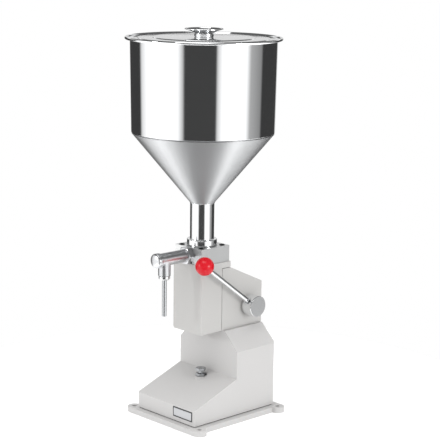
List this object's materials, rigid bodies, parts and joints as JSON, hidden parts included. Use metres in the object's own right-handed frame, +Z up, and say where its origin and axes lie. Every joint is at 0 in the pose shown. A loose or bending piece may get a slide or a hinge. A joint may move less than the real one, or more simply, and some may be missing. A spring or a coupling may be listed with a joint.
{
  "type": "manual paste filling machine",
  "caption": "Bench paste filler: lidded steel hopper over a valve block, lever-driven vertical piston, side outlet with a downward nozzle, on a sheet steel ramp base.",
  "frame": {"origin": "centre of the four fixing holes, on the underside of the base plate", "axes": "+Z up, -Y to the front where the nozzle and the lip are, +X to the side of the lever"},
  "size_m": [0.2849, 0.285, 0.72],
  "materials": {
    "light_grey_paint": "satin light grey powder coat",
    "polished_stainless": "polished stainless steel",
    "brushed_stainless": "fine turned or milled",
    "ground_steel": "ground",
    "machined_steel": "milled, lightly oiled",
    "zinc_steel": "zinc plated",
    "spring_steel": "drawn stainless wire",
    "black_steel": "black oxide",
    "bronze": "sintered bronze",
    "brass": "turned",
    "white_acetal": "turned natural acetal",
    "white_silicone": "matt food grade silicone",
    "black_rubber": "matt",
    "red_phenolic": "glossy moulded"
  },
  "bodies": {
    "frame": {"base_plate": "light_grey_paint", "base_gasket": "black_rubber", "base_shell": "light_grey_paint", "base_screws": "zinc_steel", "front_housing": "light_grey_paint", "rear_housing": "light_grey_paint", "housing_screws": "zinc_steel", "valve_block": "brushed_stainless", "block_screws": "black_steel", "piston_cylinder": "brushed_stainless", "cylinder_seal": "black_rubber", "rod_guide": "bronze", "inlet_seat": "brushed_stainless", "inlet_spring": "spring_steel", "inlet_cage": "brushed_stainless", "hopper": "polished_stainless", "union_nut": "polished_stainless", "union_seal": "white_silicone", "outlet_tube": "polished_stainless", "outlet_lock_nut": "brushed_stainless", "outlet_spring": "spring_steel", "outlet_cap": "polished_stainless", "cap_seal": "black_rubber", "nozzle_nut": "brushed_stainless", "nozzle_seal": "black_rubber", "nozzle_tube": "polished_stainless", "shaft_bushes": "bronze", "screw_boss": "light_grey_paint"},
    "handle": {"main_shaft": "ground_steel", "shaft_clip": "black_steel", "rocker_arm": "machined_steel", "rocker_pin": "ground_steel", "handle_hub": "polished_stainless", "hub_set_screw": "black_steel", "handle_rod": "polished_stainless", "ball_insert": "brass", "ball_knob": "red_phenolic"},
    "piston_group": {"piston": "white_acetal", "piston_rings": "black_rubber", "piston_nut": "zinc_steel", "piston_rod": "ground_steel", "crosshead_pin": "ground_steel", "pin_clips": "black_steel"},
    "inlet_valve": {"inlet_valve": "white_acetal"},
    "outlet_valve": {"outlet_valve": "white_acetal"},
    "lid": {"lid": "polished_stainless", "lid_knob": "polished_stainless", "lid_knob_screw": "zinc_steel"},
    "stroke_screw": {"stroke_screw": "polished_stainless"},
    "stroke_lock_nut": {"stroke_lock_nut": "polished_stainless"}
  },
  "joints": [
    {"name": "handle_turn", "type": "hinge", "parent": "frame", "child": "handle", "pos_m": [0, 0.0695, 0.2045], "axis": [1, 0, 0], "range_deg": [0, 26]},
    {"name": "piston_slide", "type": "slide", "parent": "frame", "child": "piston_group", "axis": [0, 0, 1], "range_m": [-0.0391, 0]},
    {"name": "inlet_valve_slide", "type": "slide", "parent": "frame", "child": "inlet_valve", "axis": [0, 0, 1], "range_m": [-0.004, 0], "stiffness_N_per_m": 300, "springref_m": 0.003, "deforming": ["inlet_spring"]},
    {"name": "outlet_valve_slide", "type": "slide", "parent": "frame", "child": "outlet_valve", "axis": [0, -1, 0], "range_m": [0, 0.005], "stiffness_N_per_m": 200, "springref_m": -0.003, "deforming": ["outlet_spring"]},
    {"name": "lid_lift", "type": "slide", "parent": "frame", "child": "lid", "axis": [0, 0, 1], "range_m": [0, 0.12]},
    {"name": "stroke_screw_slide", "type": "slide", "parent": "frame", "child": "stroke_screw", "axis": [0, 0, 1], "range_m": [0, 0.025]},
    {"name": "lock_nut_turn", "type": "hinge", "parent": "frame", "child": "stroke_lock_nut", "pos_m": [0, -0.015, 0.0756], "axis": [0, 0, 1], "continuous": true}
  ],
  "couplings": [
    {"joint": "piston_slide", "follows": "handle_turn", "m_per_rad": -0.086}
  ]
}
